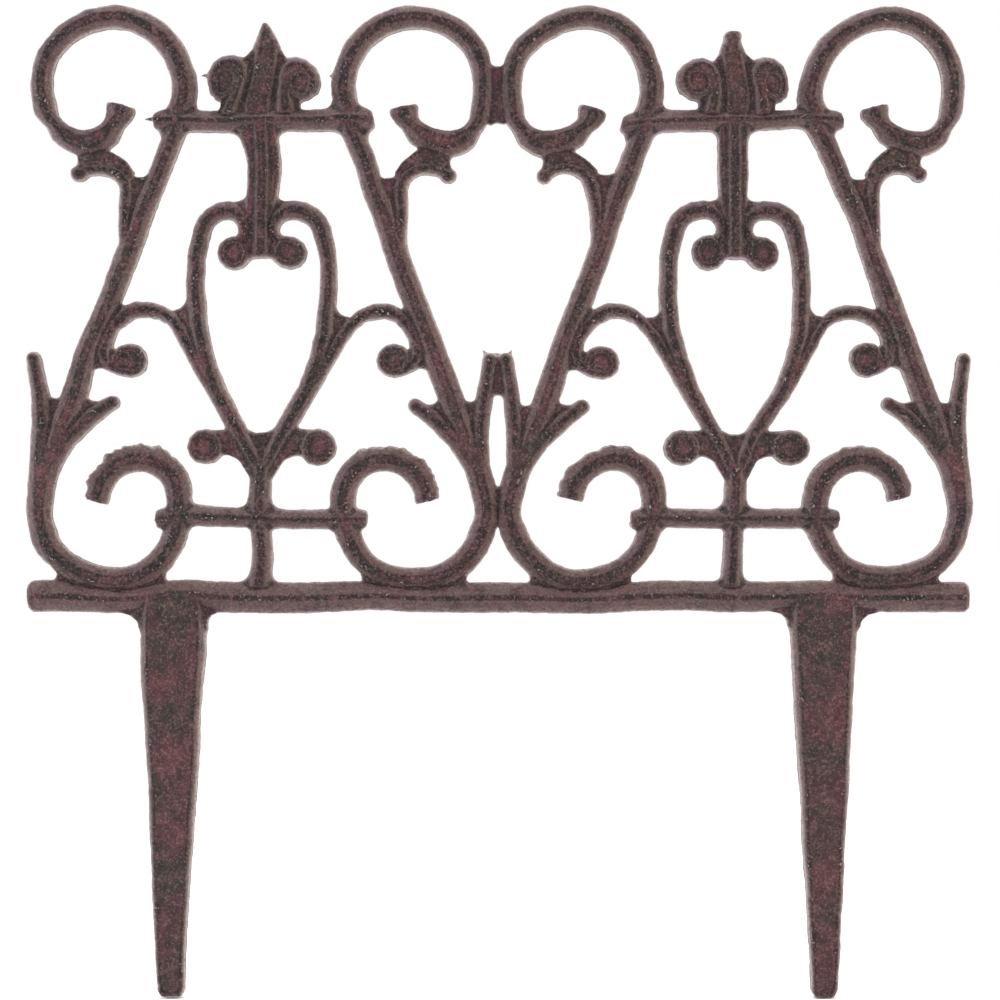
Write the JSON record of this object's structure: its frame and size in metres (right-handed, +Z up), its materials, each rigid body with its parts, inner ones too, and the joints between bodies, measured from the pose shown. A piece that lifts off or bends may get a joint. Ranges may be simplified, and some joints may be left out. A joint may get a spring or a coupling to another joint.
{
  "type": "garden border edging panel",
  "caption": "Low cast edging panel of lyre-shaped scroll bays on a rail, with spikes below that push into the soil.",
  "frame": {"origin": "centre of the rail's flat underside, midway between the spikes, at ground level", "axes": "+X along the rail, +Z up the panel, -Y out of the face seen in the picture; both faces are alike"},
  "size_m": [0.3078, 0.0098, 0.3212],
  "materials": {
    "painted_casting": "worn brown-red paint over sand-cast iron"
  },
  "bodies": {
    "root": {"edging_panel": "painted_casting"}
  },
  "joints": []
}
